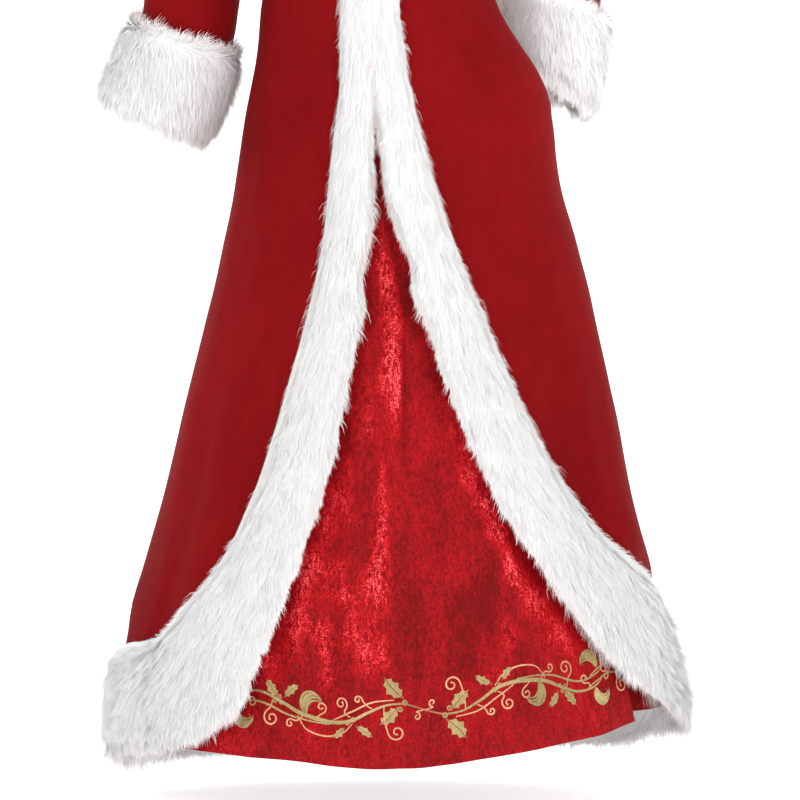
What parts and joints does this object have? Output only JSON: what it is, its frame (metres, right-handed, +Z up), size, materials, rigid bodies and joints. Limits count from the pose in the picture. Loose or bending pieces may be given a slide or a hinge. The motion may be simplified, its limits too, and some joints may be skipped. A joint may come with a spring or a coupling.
{
  "type": "christmas costume dress",
  "caption": "Long red velour costume robe with long sleeves, white fur down the open front, round the hem and at the cuffs, over a red velvet front skirt.",
  "frame": {"origin": "between the wearer's shoulders, at mid-shoulder height, where the shoulders carry the dress", "axes": "+Z up, +X towards the wearer's left, -Y out of the dress's front"},
  "size_m": [0.7979, 0.6298, 1.5183],
  "materials": {
    "red_velour": "matte velour pile",
    "red_crushed_velvet": "shiny crushed velvet",
    "white_fur": "long soft imitation fur"
  },
  "bodies": {
    "root": {"front_left": "red_velour", "front_right": "red_velour", "back_left": "red_velour", "back_right": "red_velour", "sleeve_left": "red_velour", "sleeve_right": "red_velour", "underskirt": "red_crushed_velvet", "front_fur_left": "white_fur", "front_fur_right": "white_fur", "hem_fur_left": "white_fur", "hem_fur_right": "white_fur", "cuff_fur_left": "white_fur", "cuff_fur_right": "white_fur"}
  },
  "joints": []
}
